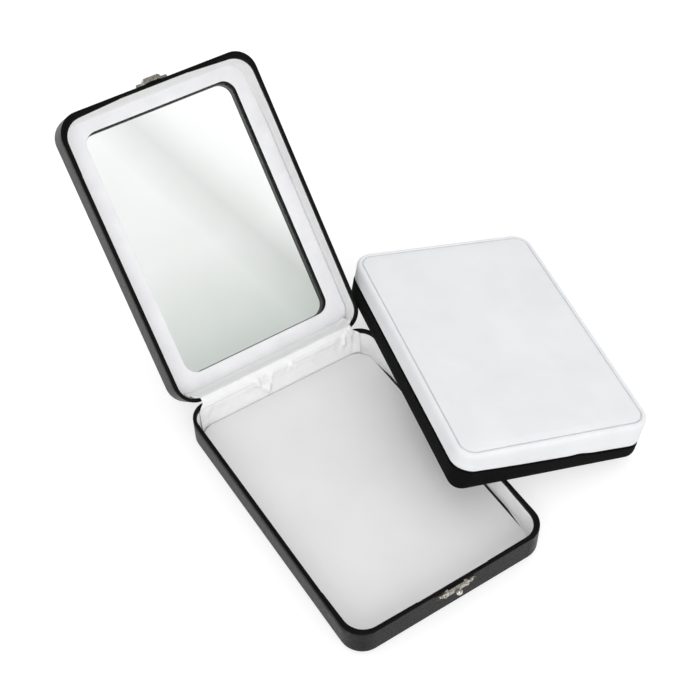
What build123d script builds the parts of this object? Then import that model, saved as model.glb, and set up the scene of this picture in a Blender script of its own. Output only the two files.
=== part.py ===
from build123d import *
import math
import os

# Case outside
case_width = 105.0
case_length = 150.0
base_height = 17.0
lid_height = 19.5
corner_radius = 11.0
edge_radius = 3.0
rim_gap = 0.2
open_angle = 134.3
clearance = 0.1

# Wall layers, from the outside in
skin = 0.4
steel = 0.5
hem_width = 1.1
hem_depth = 1.5
wall_card = 1.0
satin = 0.25
wrap_depth = 2.2
rim_width = skin + hem_width + skin
rim_radius = 0.85
hem_radius = 0.45
steel_inside = skin + steel
card_inside = steel_inside + wall_card
lining_inside = card_inside + satin

# Base floor
floor_card = 1.2
floor_card_radius = 9.0
floor_gap_left = 1.05
floor_gap_right = 1.65
floor_gap_front = 1.2
floor_gap_back = 1.75
lining_foot = 1.3

# Concealed hinge
hinge_end_gap = 11.25
knuckles = 5
knuckle_gap = 0.3
barrel_diameter = 2.2
pin_diameter = 1.2
leaf_thickness = 0.5
leaf_depth = 11.0
leaf_setback = 1.4
tab_thickness = 0.8
hinge_cut_side = 2.25
barrel_clearance = 0.25
hem_cut_depth = 2.4
hinge_rivets = 4
hinge_rivet_end = 5.25
hinge_rivet_diameter = 1.6
hinge_rivet_head = 2.4
hinge_rivet_head_height = 0.4
hinge_rivet_depth = 8.5

# Satin band over the hinge
band_end_gap = 10.0
band_thickness = 0.3
band_foot_points = [(3.35, 1.05), (3.25, 4.0)]
band_rim_points = [(2.55, 7.5), (2.85, 3.5), (2.5, 0.3)]
band_lid_points = [(2.5, 0.3), (2.95, 3.2), (2.6, 7.0), (3.6, 10.2), (4.4, 11.65)]

# Window in the lid
window_margin_side = 11.7
window_margin_end = 11.75
window_radius = 6.8
aperture_lip_side = 0.2
aperture_lip_end = 0.5
aperture_shift = 0.9
glass_lap = 2.3
glass_radius = 10.0
glass_thickness = 2.0
frame_depth = 12.0
frame_card = 1.0
spacer_outside_inset = 3.1

# Clasp on the front, with heights given from the rim
clasp_length = 21.3
clasp_block_width = 10.2
clasp_low_drop = 4.4
clasp_top_drop = 0.7
clasp_block_proud = 1.4
clasp_wing_thickness = 0.9
clasp_rib_radius = 0.42
curl_height = 0.3
ball_diameter = 3.2
ball_drop = 2.7
ball_proud = 4.3
stem_play = 0.15
press_travel = 0.8
stem_diameter = 1.4
stem_drop = 3.4
lug_diameter = 1.0
lug_drop = 3.4
lug_spread = 2.5
lug_reach = 0.7
latch_bar_width = 6.4
latch_bar_thickness = 0.4
latch_bar_low_drop = 8.4
latch_bar_top_drop = 2.7
slot_width = 8.6
slot_depth = 0.75
hook_width = 8.1
hook_neck_width = 5.6
hook_neck_rise = 1.0
hook_thickness = 0.5
hook_drop = 4.8
hook_window_width = 1.6
hook_window_height = 1.6
hook_fork_width = 2.0
hook_fork_drop = 2.3
hook_rise = 3.6
nail_diameter = 0.8
nail_head_diameter = 1.3
nail_head_height = 0.35
nail_spacing = 19.4
nail_drop = 2.55
pocket_left = -16.0
pocket_right = 4.0
pocket_low_drop = 9.4
pocket_top_drop = 2.5
pocket_inside = 2.45
spring_thickness = 0.2
spring_low_drop = 6.2
spring_high_drop = 3.8
spring_foot = 3.5

# Clasp on the lid, heights above the closed rim
lid_bar_length = 9.0
lid_bar_low = 1.2
lid_bar_high = 4.8
lid_bar_proud = 2.6
lid_wing_span = 17.0
lid_nail_spacing = 14.8
lid_nail_height = 2.95

# Reversible pad
pad_gap_side = 2.45
pad_gap_end = 3.3
pad_thickness = 22.3
pad_seam_height = 11.0
pad_corner_radius = 9.5
pad_underside_inset = 0.93
pad_top_edge = 3.2
pad_bottom_edge = 3.0
pad_seam_edge = 0.8
pad_crown_radius = 4000.0
groove_inset = 2.65
groove_width = 1.3
groove_depth = 0.9
pad_cover = 1.6
pad_board = 2.0
pad_yaw = -13.55
pad_tilt = 9.92
pad_side_offset = 37.3
pad_back_offset = 20.5
pad_lift = 0.3

# Derived sizes
hinge_length = case_width - 2 * hinge_end_gap
hinge_rivet_pitch = (hinge_length - 2 * hinge_rivet_end) / (hinge_rivets - 1)
band_width = case_width - 2 * band_end_gap
window_well_width = case_width - 2 * window_margin_side
window_well_length = case_length - 2 * window_margin_end
aperture_width = window_well_width + 2 * aperture_lip_side
aperture_length = window_well_length + 2 * aperture_lip_end
glass_width = window_well_width + 2 * glass_lap
glass_length = window_well_length + 2 * glass_lap
pad_width = case_width - 2 * pad_gap_side
pad_length = case_length - 2 * pad_gap_end

# Derived places
hinge_y = case_length / 2
hinge_z = base_height
clasp_block_low = base_height - clasp_low_drop
clasp_block_top = base_height - clasp_top_drop
ball_height = base_height - ball_drop
stem_height = base_height - stem_drop
lug_height = base_height - lug_drop
latch_bar_low = base_height - latch_bar_low_drop
latch_bar_top = base_height - latch_bar_top_drop
hook_low = base_height - hook_drop
hook_fork_top = base_height - hook_fork_drop
hook_neck_low = base_height + hook_neck_rise
hook_top = base_height + hook_rise
nail_height = base_height - nail_drop
pocket_low = base_height - pocket_low_drop
pocket_top = base_height - pocket_top_drop
spring_low = base_height - spring_low_drop
spring_high = base_height - spring_high_drop
front_y = -case_length / 2
hinge_cut_width = hinge_length + 2 * hinge_cut_side
barrel_cut = barrel_diameter / 2 + barrel_clearance
knuckle_pitch = hinge_length / knuckles


def block(inset, low, high, edge=0.0):
    """Upright rounded block of the case's plan, set in by inset, its low edge rounded."""
    plan = RectangleRounded(case_width - 2 * inset, case_length - 2 * inset, corner_radius - inset)
    body = Pos(0, 0, low) * extrude(plan, high - low)
    if edge > 0:
        body = fillet(body.faces().sort_by(Axis.Z)[0].edges(), edge)
    return body


def ring(outer_inset, inner_inset, low, high):
    """Upright band that follows the case's plan."""
    return block(outer_inset, low, high) - block(inner_inset, low - clearance, high + clearance)


def box_between(x0, x1, y0, y1, z0, z1):
    """Box between two corners."""
    size = Box(x1 - x0, y1 - y0, z1 - z0)
    return Pos((x0 + x1) / 2, (y0 + y1) / 2, (z0 + z1) / 2) * size


def rod_y(x, z, y0, y1, diameter):
    """Round rod along the case's length."""
    rod = Cylinder(diameter / 2, y1 - y0)
    return Pos(x, (y0 + y1) / 2, z) * Rot(90, 0, 0) * rod


def rod_x(y, z, x0, x1, diameter):
    """Round rod across the case."""
    rod = Cylinder(diameter / 2, x1 - x0)
    return Pos((x0 + x1) / 2, y, z) * Rot(0, 90, 0) * rod


def prism_y(points, y0, y1):
    """Flat outline in the front plane, given a thickness from y0 to y1."""
    outline = Polyline([Vector(x, y1, z) for x, z in points], close=True)
    return extrude(make_face(outline), y1 - y0, dir=(0, -1, 0))


def closed_lid(shape):
    """Turns a lid piece, built mouth up, over onto the closed base."""
    return Pos(0, 0, base_height + lid_height) * Rot(0, 180, 0) * shape


def opened(shape):
    """Swings a closed lid piece back about the hinge to the open stop."""
    swing = Pos(0, hinge_y, hinge_z) * Rot(-open_angle, 0, 0) * Pos(0, -hinge_y, -hinge_z)
    return swing * shape


def knuckle_span(index):
    """Start and end of one hinge knuckle along the pin."""
    start = -hinge_length / 2 + index * knuckle_pitch
    return start + knuckle_gap / 2, start + knuckle_pitch - knuckle_gap / 2


def hinge_relief(height):
    """Room in one back wall for the barrel and the leaf tabs."""
    half = hinge_cut_width / 2
    over = height + 1
    wall_cut = box_between(-half, half, hinge_y - steel_inside, hinge_y + 1, height - barrel_cut, over)
    rim_low = height - hem_cut_depth
    rim_cut = box_between(
        -half, half, hinge_y - 2 * rim_width, hinge_y - steel_inside, rim_low, over
    )
    return wall_cut + rim_cut


def pressed_shell(height):
    """Pressed steel half case with its rim folded inward to a hem."""
    top = height - rim_gap / 2 - skin
    outer = block(skin, skin, top, edge_radius - skin)
    hollow = block(steel_inside, steel_inside, top - hem_depth, edge_radius - steel_inside)
    mouth = block(skin + hem_width, top - hem_depth - clearance, top + clearance)
    shell = outer - hollow - mouth
    top_edges = shell.faces().sort_by(Axis.Z)[-1].edges()
    shell = fillet(top_edges, hem_radius)
    return shell - hinge_relief(height)


def covering(height):
    """Leatherette skin, carried over the rim and down inside it."""
    top = height - rim_gap / 2
    mouth_low = height - wrap_depth
    outer = block(0, 0, top, edge_radius) - block(rim_width, mouth_low, top + clearance)
    outer = fillet(outer.faces().sort_by(Axis.Z)[-1].edges(), rim_radius)
    filled = block(skin, skin, top - skin, edge_radius - skin)
    filled -= block(skin + hem_width, mouth_low, top + clearance)
    filled = fillet(filled.faces().sort_by(Axis.Z)[-1].edges(), hem_radius)
    return outer - filled - hinge_relief(height)


def lining_end_cut(height):
    """The back wall between the corners, where the hinge leaves lie instead of a lining."""
    half = hinge_cut_width / 2
    return box_between(-half, half, 0, hinge_y, -1, height)


def wall_board(height, foot):
    """Card that stiffens the lining, standing against the steel under the rim."""
    board = ring(steel_inside, card_inside, foot, height - wrap_depth)
    board = board & block(steel_inside, steel_inside, height, edge_radius - steel_inside)
    return board - lining_end_cut(height)


def wall_lining(height, foot):
    """Satin on the inner face of the wall card."""
    return ring(card_inside, lining_inside, foot, height - wrap_depth) - lining_end_cut(height)


def hinge_leaf(height, own, bore):
    """Leaf inside one back wall with its curled knuckles, for a half built mouth up."""
    leaf_y = hinge_y - leaf_setback
    half = hinge_length / 2
    low = height - leaf_depth
    leaf = box_between(-half, half, leaf_y, leaf_y + leaf_thickness, low, height - barrel_cut)
    for index in own:
        x0, x1 = knuckle_span(index)
        tab_low = height - barrel_cut
        leaf += box_between(x0, x1, leaf_y, leaf_y + tab_thickness, tab_low, height)
        leaf += rod_x(hinge_y, height, x0, x1, barrel_diameter)
    for index in range(knuckles):
        if index not in own:
            x0, x1 = knuckle_span(index)
            margin = knuckle_gap
            near = hinge_y - barrel_cut
            leaf -= box_between(x0 - margin, x1 + margin, near, hinge_y, height - barrel_cut, height)
    return leaf - rod_x(hinge_y, height, -half, half, bore)


def hinge_rivet_places():
    """Rivet places along one leaf."""
    first = -hinge_rivet_pitch * (hinge_rivets - 1) / 2
    return [first + index * hinge_rivet_pitch for index in range(hinge_rivets)]


def hinge_rivet_set(height, with_heads=True):
    """Rivets that hold one leaf to the steel, heads toward the inside."""
    leaf_y = hinge_y - leaf_setback
    rivets = []
    for x in hinge_rivet_places():
        z = height - hinge_rivet_depth
        rivet = rod_y(x, z, leaf_y, hinge_y - skin, hinge_rivet_diameter)
        if with_heads:
            head_start = leaf_y - hinge_rivet_head_height
            rivet += rod_y(x, z, head_start, leaf_y, hinge_rivet_head)
        rivets.append(rivet)
    return rivets


def satin_band(points):
    """Thin band across the hinge that follows a soft line, drawn as distance in from the back and height."""
    inner = [Vector(0, hinge_y - inset, z) for inset, z in points]
    outer = [Vector(0, hinge_y - inset + band_thickness, z) for inset, z in points]
    front = Spline(inner)
    back = Spline(outer)
    foot = Line(inner[0], outer[0])
    head = Line(inner[-1], outer[-1])
    section = make_face(Wire([front, head, back, foot]))
    return Pos(-band_width / 2, 0, 0) * extrude(section, band_width, dir=(1, 0, 0))


def nail(x, z, head_plane):
    """Nail from the front of a clasp plate through the wall."""
    shank = rod_y(x, z, head_plane, front_y + steel_inside, nail_diameter)
    head = rod_y(x, z, head_plane - nail_head_height, head_plane, nail_head_diameter)
    return shank + head


def nail_hole(x, z, head_plane):
    """Room for one nail's shank."""
    return rod_y(x, z, head_plane, front_y + steel_inside, nail_diameter)


def mirrored(points):
    """Outline points mirrored to the other side of the clasp."""
    return [(-x, z) for x, z in points]


# Wing outlines, drawn from the block to the tip and back, with heights from the rim
tip = clasp_length / 2
wing_points = [
    (0.40 * tip, -0.9), (0.52 * tip, -0.7), (0.60 * tip, -1.5), (0.70 * tip, -2.0),
    (0.82 * tip, -1.7), (0.93 * tip, -1.85), (tip, -2.4), (0.93 * tip, -3.2),
    (0.80 * tip, -3.45), (0.70 * tip, -3.1), (0.64 * tip, -4.2), (0.54 * tip, -4.9),
    (0.40 * tip, -5.1),
]
curls = [(0.53 * tip, -1.8, 0.85), (0.55 * tip, -3.9, 0.95), (0.73 * tip, -2.55, 0.7)]
lid_tip = lid_wing_span / 2
lid_wing_points = [
    (0.40 * lid_tip, 4.5), (0.56 * lid_tip, 4.7), (0.68 * lid_tip, 3.9), (0.82 * lid_tip, 3.7),
    (0.94 * lid_tip, 3.6), (lid_tip, 2.95), (0.94 * lid_tip, 2.3), (0.80 * lid_tip, 2.2),
    (0.68 * lid_tip, 2.1), (0.54 * lid_tip, 1.5), (0.40 * lid_tip, 1.4),
]
lid_curls = [(0.57 * lid_tip, 3.85, 0.7), (0.58 * lid_tip, 2.25, 0.6), (0.73 * lid_tip, 3.05, 0.5)]


def scrolls(curls, lift):
    """Raised round curls on both wings of a clasp plate, each with a smaller eye on it."""
    shapes = []
    face = front_y - clasp_wing_thickness
    for x, z, radius in curls:
        for side in (-1, 1):
            curl = rod_y(side * x, z + lift, face - curl_height, front_y, 2 * radius)
            eye = rod_y(side * x, z + lift, face - 2 * curl_height, front_y, radius)
            shapes.append(curl + eye)
    return shapes


def wings(points, lift):
    """Both flat wings of a clasp plate."""
    raised = [(x, z + lift) for x, z in points]
    back = front_y
    right = prism_y(raised, back - clasp_wing_thickness, back)
    left = prism_y(mirrored(raised), back - clasp_wing_thickness, back)
    return right + left


# Base half
base_shell = pressed_shell(base_height)
base_leatherette = covering(base_height)
base_wall_card = wall_board(base_height, lining_foot)
base_wall_satin = wall_lining(base_height, lining_foot)

floor_left = -case_width / 2 + lining_inside + floor_gap_left
floor_right = case_width / 2 - lining_inside - floor_gap_right
floor_front = front_y + lining_inside + floor_gap_front
floor_back = hinge_y - lining_inside - floor_gap_back
floor_plan = RectangleRounded(floor_right - floor_left, floor_back - floor_front, floor_card_radius)
floor_place = Pos((floor_left + floor_right) / 2, (floor_front + floor_back) / 2, steel_inside)
base_floor_card = floor_place * extrude(floor_plan, floor_card)

# Pocket in the front lining for the latch
pocket_cut = box_between(
    pocket_left, pocket_right, front_y, front_y + pocket_inside, pocket_low, pocket_top
)
bulge = box_between(
    pocket_left - satin, pocket_right + satin, front_y + card_inside,
    front_y + pocket_inside + satin, pocket_low - satin, pocket_top + satin,
)
base_wall_card -= pocket_cut
base_wall_satin = base_wall_satin + bulge - pocket_cut

# Concealed hinge
base_knuckles = list(range(0, knuckles, 2))
lid_knuckles = list(range(1, knuckles, 2))
hinge_leaf_base = hinge_leaf(base_height, base_knuckles, pin_diameter)
hinge_leaf_lid = hinge_leaf(lid_height, lid_knuckles, pin_diameter + clearance)
hinge_pin = rod_x(hinge_y, hinge_z, -hinge_length / 2 + knuckle_gap, hinge_length / 2 - knuckle_gap, pin_diameter)
hinge_rivets_base = hinge_rivet_set(base_height)
hinge_rivets_lid = hinge_rivet_set(lid_height)
for hole in hinge_rivet_set(base_height, with_heads=False):
    base_shell -= hole
    hinge_leaf_base -= hole

# Satin band, one length on each half
band_base_points = band_foot_points + [(inset, base_height - drop) for inset, drop in band_rim_points]
hinge_satin_base = satin_band(band_base_points)
hinge_satin_lid = satin_band([(inset, lid_height - depth) for inset, depth in band_lid_points])

# Lid half, built mouth up
lid_shell = pressed_shell(lid_height)
lid_leatherette = covering(lid_height)
for hole in hinge_rivet_set(lid_height, with_heads=False):
    lid_shell -= hole
    hinge_leaf_lid -= hole

glass_back = frame_depth + satin + frame_card
glass_front = glass_back + glass_thickness
frame_z = lid_height - frame_depth
glass_low = lid_height - glass_front
glass_high = lid_height - glass_back


def window_block(width, length, radius, low, high):
    """Upright rounded block in the window's place."""
    return Pos(0, 0, low) * extrude(RectangleRounded(width, length, radius), high - low)


# Turned-in edge of the window and its covering
well_cut = window_block(window_well_width, window_well_length, window_radius, -1, lid_height)
skin_outer = window_block(
    window_well_width + 2 * skin, window_well_length + 2 * skin, window_radius + skin, 0, glass_low
)
steel_outer = window_block(
    window_well_width + 2 * steel_inside, window_well_length + 2 * steel_inside,
    window_radius + steel_inside, skin, glass_low,
)
lid_shell = lid_shell + steel_outer - window_block(
    window_well_width + 2 * skin, window_well_length + 2 * skin, window_radius + skin, -1, lid_height
)
lid_leatherette = lid_leatherette + skin_outer - well_cut

lid_glass = window_block(glass_width, glass_length, glass_radius, glass_low, glass_high)

# Rebated spacer that frames the glass between the steel and the lining frame
spacer = block(spacer_outside_inset, steel_inside, glass_high)
spacer -= window_block(
    window_well_width + 2 * steel_inside + 2 * clearance,
    window_well_length + 2 * steel_inside + 2 * clearance,
    window_radius + steel_inside + clearance, -1, lid_height,
)
window_spacer = spacer - window_block(
    glass_width + 2 * clearance, glass_length + 2 * clearance, glass_radius + clearance,
    glass_low, lid_height,
)

# Lining frame round the window
frame_plan_inset = steel_inside + clearance
aperture_place = Pos(-aperture_shift, 0, 0)
lid_frame_card = block(frame_plan_inset, glass_high, glass_high + frame_card)
lid_frame_card -= aperture_place * window_block(
    aperture_width + 2 * satin, aperture_length + 2 * satin, window_radius + satin, -1, lid_height
)
lid_frame_satin = block(frame_plan_inset, glass_high + frame_card, frame_z)
lid_frame_satin += aperture_place * window_block(
    aperture_width + 2 * satin, aperture_length + 2 * satin, window_radius + satin, glass_high, frame_z
)
lid_frame_satin -= aperture_place * window_block(
    aperture_width, aperture_length, window_radius, -1, lid_height
)

lid_wall_card = wall_board(lid_height, frame_z)
lid_wall_satin = wall_lining(lid_height, frame_z)

# The frame stops short of the hinge leaf
leaf_room = box_between(
    -hinge_cut_width / 2, hinge_cut_width / 2, hinge_y - leaf_setback - hinge_rivet_head_height - clearance,
    hinge_y, 0, lid_height,
)
lid_frame_card -= leaf_room
lid_frame_satin -= leaf_room

# Push clasp on the base
half_block = clasp_block_width / 2
clasp_base_plate = box_between(
    -half_block, half_block, front_y - clasp_block_proud, front_y, clasp_block_low, clasp_block_top
)
front_edges = clasp_base_plate.edges().group_by(Axis.Y)[0]
clasp_base_plate = fillet(front_edges, 0.4)
clasp_base_plate += wings(wing_points, base_height)
for curl in scrolls(curls, base_height):
    clasp_base_plate += curl
rib_y = front_y - clasp_block_proud
for step in range(3):
    rib_z = clasp_block_top - clasp_rib_radius * (1 + 2.4 * step)
    rib = rod_x(rib_y, rib_z, -half_block + 0.5, half_block - 0.5, 2 * clasp_rib_radius)
    clasp_base_plate += rib
clasp_base_plate -= box_between(
    -slot_width / 2, slot_width / 2, front_y - slot_depth, front_y, clasp_block_low - 1, clasp_block_top + 1
)
clasp_base_plate -= rod_y(0, stem_height, front_y - ball_proud, front_y, stem_diameter + 2 * stem_play)

clasp_base_nails = []
for side in (-1, 1):
    nail_x = side * nail_spacing / 2
    plane = front_y - clasp_wing_thickness
    clasp_base_nails.append(nail(nail_x, nail_height, plane))
    hole = nail_hole(nail_x, nail_height, plane)
    clasp_base_plate -= hole
    base_shell -= hole
    base_leatherette -= hole

# Ball, stem, bar and both lugs move as one
ball_y = front_y - ball_proud + ball_diameter / 2
ball_back = front_y - clasp_block_proud - clasp_rib_radius - press_travel - clearance
latch_bar_y = front_y + steel_inside + clearance / 2
clasp_button = Pos(0, ball_y, ball_height) * Sphere(ball_diameter / 2)
clasp_button -= box_between(-tip, tip, ball_back, front_y + ball_diameter, 0, base_height)
clasp_button += rod_y(0, stem_height, ball_back - clearance, latch_bar_y + clearance, stem_diameter)
clasp_button += box_between(
    -latch_bar_width / 2, latch_bar_width / 2, latch_bar_y, latch_bar_y + latch_bar_thickness,
    latch_bar_low, latch_bar_top,
)
for lug_x in (-lug_spread, lug_spread):
    clasp_button += rod_y(lug_x, lug_height, front_y - lug_reach, latch_bar_y + clearance, lug_diameter)
hole_places = [
    (0, stem_height, stem_diameter), (-lug_spread, lug_height, lug_diameter), (lug_spread, lug_height, lug_diameter),
]
for hole_x, hole_z, hole_diameter in hole_places:
    hole = rod_y(hole_x, hole_z, front_y - 1, front_y + steel_inside, hole_diameter + 2 * clearance)
    base_shell -= hole
    base_leatherette -= hole

# Flat spring behind the latch bar
bar_back = latch_bar_y + latch_bar_thickness
spring_start = pocket_left + clearance
foot_end = spring_start + spring_foot
bar_edge = -latch_bar_width / 2
wall_face = front_y + steel_inside
spring_line = [
    (spring_start, wall_face), (foot_end, wall_face), (bar_edge, bar_back),
    (-bar_edge, bar_back), (-bar_edge, bar_back + spring_thickness),
    (bar_edge, bar_back + spring_thickness), (foot_end, wall_face + spring_thickness),
    (spring_start, wall_face + spring_thickness),
]
spring_outline = Polyline([Vector(x, y, spring_low) for x, y in spring_line], close=True)
clasp_spring = extrude(make_face(spring_outline), spring_high - spring_low, dir=(0, 0, 1))

# Clasp on the lid, built in the closed place
lid_bar_mid = hinge_z + (lid_bar_low + lid_bar_high) / 2
clasp_lid_plate = box_between(
    -lid_bar_length / 2, lid_bar_length / 2, front_y - lid_bar_proud, front_y,
    hinge_z + lid_bar_low, hinge_z + lid_bar_high,
)
bar_front = clasp_lid_plate.edges().group_by(Axis.Y)[0]
clasp_lid_plate = fillet(bar_front, 0.7)
for step in range(3):
    rib_z = lid_bar_mid + (step - 1) * (lid_bar_high - lid_bar_low) * 0.3
    rib = rod_x(
        front_y - lid_bar_proud + 0.15, rib_z, -lid_bar_length / 2 + 0.7, lid_bar_length / 2 - 0.7,
        2 * clasp_rib_radius,
    )
    clasp_lid_plate += rib
clasp_lid_plate += wings(lid_wing_points, hinge_z)
for curl in scrolls(lid_curls, hinge_z):
    clasp_lid_plate += curl

hook_back = front_y - clearance
hook_front = hook_back - hook_thickness
half_hook = hook_width / 2
half_neck = hook_neck_width / 2
clasp_hook = box_between(-half_hook, half_hook, hook_front, hook_back, hook_low, hook_neck_low)
clasp_hook += box_between(-half_neck, half_neck, hook_front, hook_back, hook_neck_low, hook_top)
for lug_x in (-lug_spread, lug_spread):
    clasp_hook -= box_between(
        lug_x - hook_window_width / 2, lug_x + hook_window_width / 2, hook_front - 1, hook_back + 1,
        lug_height - hook_window_height / 2, lug_height + hook_window_height / 2,
    )
clasp_hook -= box_between(
    -hook_fork_width / 2, hook_fork_width / 2, hook_front - 1, hook_back + 1, hook_low - 1, hook_fork_top
)
clasp_lid_plate -= box_between(
    -half_neck - clearance, half_neck + clearance, hook_front, front_y, 0, hook_top + clearance
)

clasp_lid_nails = []
lid_plate_holes = []
for side in (-1, 1):
    nail_x = side * lid_nail_spacing / 2
    nail_z = hinge_z + lid_nail_height
    plane = front_y - clasp_wing_thickness
    clasp_lid_nails.append(nail(nail_x, nail_z, plane))
    lid_plate_holes.append(nail_hole(nail_x, nail_z, plane))
for hole in lid_plate_holes:
    clasp_lid_plate -= hole

lid_shell = closed_lid(lid_shell)
lid_leatherette = closed_lid(lid_leatherette)
for hole in lid_plate_holes:
    lid_shell -= hole
    lid_leatherette -= hole

# Pad, built flat with its black side down
pad_top_z = pad_thickness


def pad_block(inset, low, high):
    """Upright rounded block of the pad's plan."""
    plan = RectangleRounded(pad_width - 2 * inset, pad_length - 2 * inset, pad_corner_radius - inset)
    return Pos(0, 0, low) * extrude(plan, high - low)


white = pad_block(0, pad_seam_height, pad_top_z)
white = fillet(white.faces().sort_by(Axis.Z)[0].edges(), pad_seam_edge)
white = fillet(white.faces().sort_by(Axis.Z)[-1].edges(), pad_top_edge)
groove_outer = pad_block(groove_inset, pad_top_z - groove_depth, pad_top_z + 1)
groove_inner = pad_block(groove_inset + groove_width, pad_top_z - groove_depth - 1, pad_top_z + 2)
white -= groove_outer - groove_inner
crown = Pos(0, 0, pad_top_z - pad_crown_radius) * Sphere(pad_crown_radius)
slab = pad_block(-1, pad_seam_height - 1, pad_top_z + 1)
white = white & (slab & crown)

black = pad_block(pad_underside_inset, 0, pad_seam_height)
black = fillet(black.faces().sort_by(Axis.Z)[-1].edges(), pad_seam_edge)
black = fillet(black.faces().sort_by(Axis.Z)[0].edges(), pad_bottom_edge)

core_inset = pad_cover + pad_bottom_edge / 2
board_low = pad_seam_height - pad_board / 2
board_high = pad_seam_height + pad_board / 2
pad_board_sheet = pad_block(core_inset, board_low, board_high)
pad_foam_white = pad_block(core_inset, board_high, pad_top_z - 2 * pad_cover)
pad_foam_black = pad_block(core_inset, pad_cover, board_low)
core = pad_block(core_inset, pad_cover, pad_top_z - 2 * pad_cover)
pad_velvet_white = white - core
pad_velvet_black = black - core

# The pad leans on the base's right rim and touches down at its far corner
tilt = math.radians(pad_tilt)
rim_x = case_width / 2 - rim_width / 2
pad_x = case_width / 2 + pad_side_offset
rise = pad_lift / math.cos(tilt)
pad_z = base_height - rim_gap / 2 + rise - (pad_x - rim_x) * math.tan(tilt)
pad_place = Pos(pad_x, pad_back_offset, pad_z) * Rot(0, pad_tilt, 0) * Rot(0, 0, pad_yaw)

nodes = {
    "base_shell": base_shell,
    "base_leatherette": base_leatherette,
    "base_wall_card": base_wall_card,
    "base_wall_satin": base_wall_satin,
    "base_floor_card": base_floor_card,
    "hinge_leaf_base": hinge_leaf_base,
    "hinge_leaf_lid": opened(closed_lid(hinge_leaf_lid)),
    "hinge_pin": hinge_pin,
    "hinge_rivets_base": Compound(children=hinge_rivets_base),
    "hinge_rivets_lid": opened(closed_lid(Compound(children=hinge_rivets_lid))),
    "hinge_satin_base": hinge_satin_base,
    "hinge_satin_lid": opened(closed_lid(hinge_satin_lid)),
    "clasp_base_plate": clasp_base_plate,
    "clasp_base_nails": Compound(children=clasp_base_nails),
    "clasp_button": clasp_button,
    "clasp_spring": clasp_spring,
    "lid_shell": opened(lid_shell),
    "lid_leatherette": opened(lid_leatherette),
    "lid_glass": opened(closed_lid(lid_glass)),
    "window_spacer": opened(closed_lid(window_spacer)),
    "lid_frame_card": opened(closed_lid(lid_frame_card)),
    "lid_frame_satin": opened(closed_lid(lid_frame_satin)),
    "lid_wall_card": opened(closed_lid(lid_wall_card)),
    "lid_wall_satin": opened(closed_lid(lid_wall_satin)),
    "clasp_lid_plate": opened(clasp_lid_plate),
    "clasp_hook": opened(clasp_hook),
    "clasp_lid_nails": opened(Compound(children=clasp_lid_nails)),
    "pad_board": pad_place * pad_board_sheet,
    "pad_foam_white": pad_place * pad_foam_white,
    "pad_foam_black": pad_place * pad_foam_black,
    "pad_velvet_white": pad_place * pad_velvet_white,
    "pad_velvet_black": pad_place * pad_velvet_black,
}

os.makedirs("parts", exist_ok=True)
for name, shape in nodes.items():
    export_step(shape, f"parts/{name}.step")
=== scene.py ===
"""Looks of the gemstone box: materials, soft pieces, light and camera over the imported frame."""

import math

import bmesh
import bpy
from mathutils import Matrix, Vector, noise


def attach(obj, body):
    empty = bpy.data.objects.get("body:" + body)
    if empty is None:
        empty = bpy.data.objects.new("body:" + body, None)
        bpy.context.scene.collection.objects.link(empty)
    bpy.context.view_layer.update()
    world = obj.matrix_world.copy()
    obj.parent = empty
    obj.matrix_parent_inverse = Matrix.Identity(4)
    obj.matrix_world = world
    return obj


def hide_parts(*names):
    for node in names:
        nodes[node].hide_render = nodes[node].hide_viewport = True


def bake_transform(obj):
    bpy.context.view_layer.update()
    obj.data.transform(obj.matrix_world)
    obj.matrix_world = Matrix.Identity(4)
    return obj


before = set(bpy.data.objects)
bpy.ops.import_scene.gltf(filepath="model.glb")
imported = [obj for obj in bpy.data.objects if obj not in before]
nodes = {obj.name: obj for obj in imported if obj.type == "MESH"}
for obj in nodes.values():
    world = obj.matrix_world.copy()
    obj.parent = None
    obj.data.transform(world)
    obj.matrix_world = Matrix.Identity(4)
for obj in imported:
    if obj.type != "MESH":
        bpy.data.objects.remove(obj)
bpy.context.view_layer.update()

MM = 0.001

# Case, as in the part's source, in millimetres
CASE_W = 105.0
CASE_L = 150.0
BASE_H = 17.0
LID_H = 19.5
CORNER = 11.0
OPEN = math.radians(134.3)
HINGE_Y = 75.0
HINGE_Z = 17.0
CARD_IN = 1.9
LINING_IN = 2.15
WRAP = 2.2
BAND_END = 44.0
FRAME_DEPTH = 12.0
APERTURE_W = 82.0
APERTURE_L = 127.0
WINDOW_R = 6.8
WINDOW_SHIFT = 0.9
WINDOW_RISE = 0.6
WALL_R = CORNER - CARD_IN
WALL_LINE = (CARD_IN + LINING_IN) / 2
FLOOR_X = (-49.3, 48.7)
FLOOR_Y = (-71.65, 71.1)
FLOOR_R = 9.0
CLOTH = 0.12
BAND_CLOTH = 0.15

# Pad, as in the part's source
PAD_W = 100.1
PAD_L = 143.4
PAD_SEAM = 11.0
PAD_R = 9.5
PAD_YAW = math.radians(-13.55)
PAD_TILT = math.radians(9.92)
PAD_GAP = 0.3
PAD_X = CASE_W / 2 + 37.3
PAD_Y = 20.5
# The pad's underside rests on the round top of the right rim
RIM_X = CASE_W / 2 - 0.95
RIM_Z = BASE_H - 0.1
PAD_Z = RIM_Z + PAD_GAP / math.cos(PAD_TILT) - (PAD_X - RIM_X) * math.tan(PAD_TILT)
PAD_PLACE = (
    Matrix.Translation((PAD_X, PAD_Y, PAD_Z))
    @ Matrix.Rotation(PAD_TILT, 4, "Y")
    @ Matrix.Rotation(PAD_YAW, 4, "Z")
)

# Lid pieces are drawn on the closed case and swung open
SWING = (
    Matrix.Translation((0, HINGE_Y, HINGE_Z))
    @ Matrix.Rotation(-OPEN, 4, "X")
    @ Matrix.Translation((0, -HINGE_Y, -HINGE_Z))
)
IDENTITY = Matrix.Identity(4)


# Helpers


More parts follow.
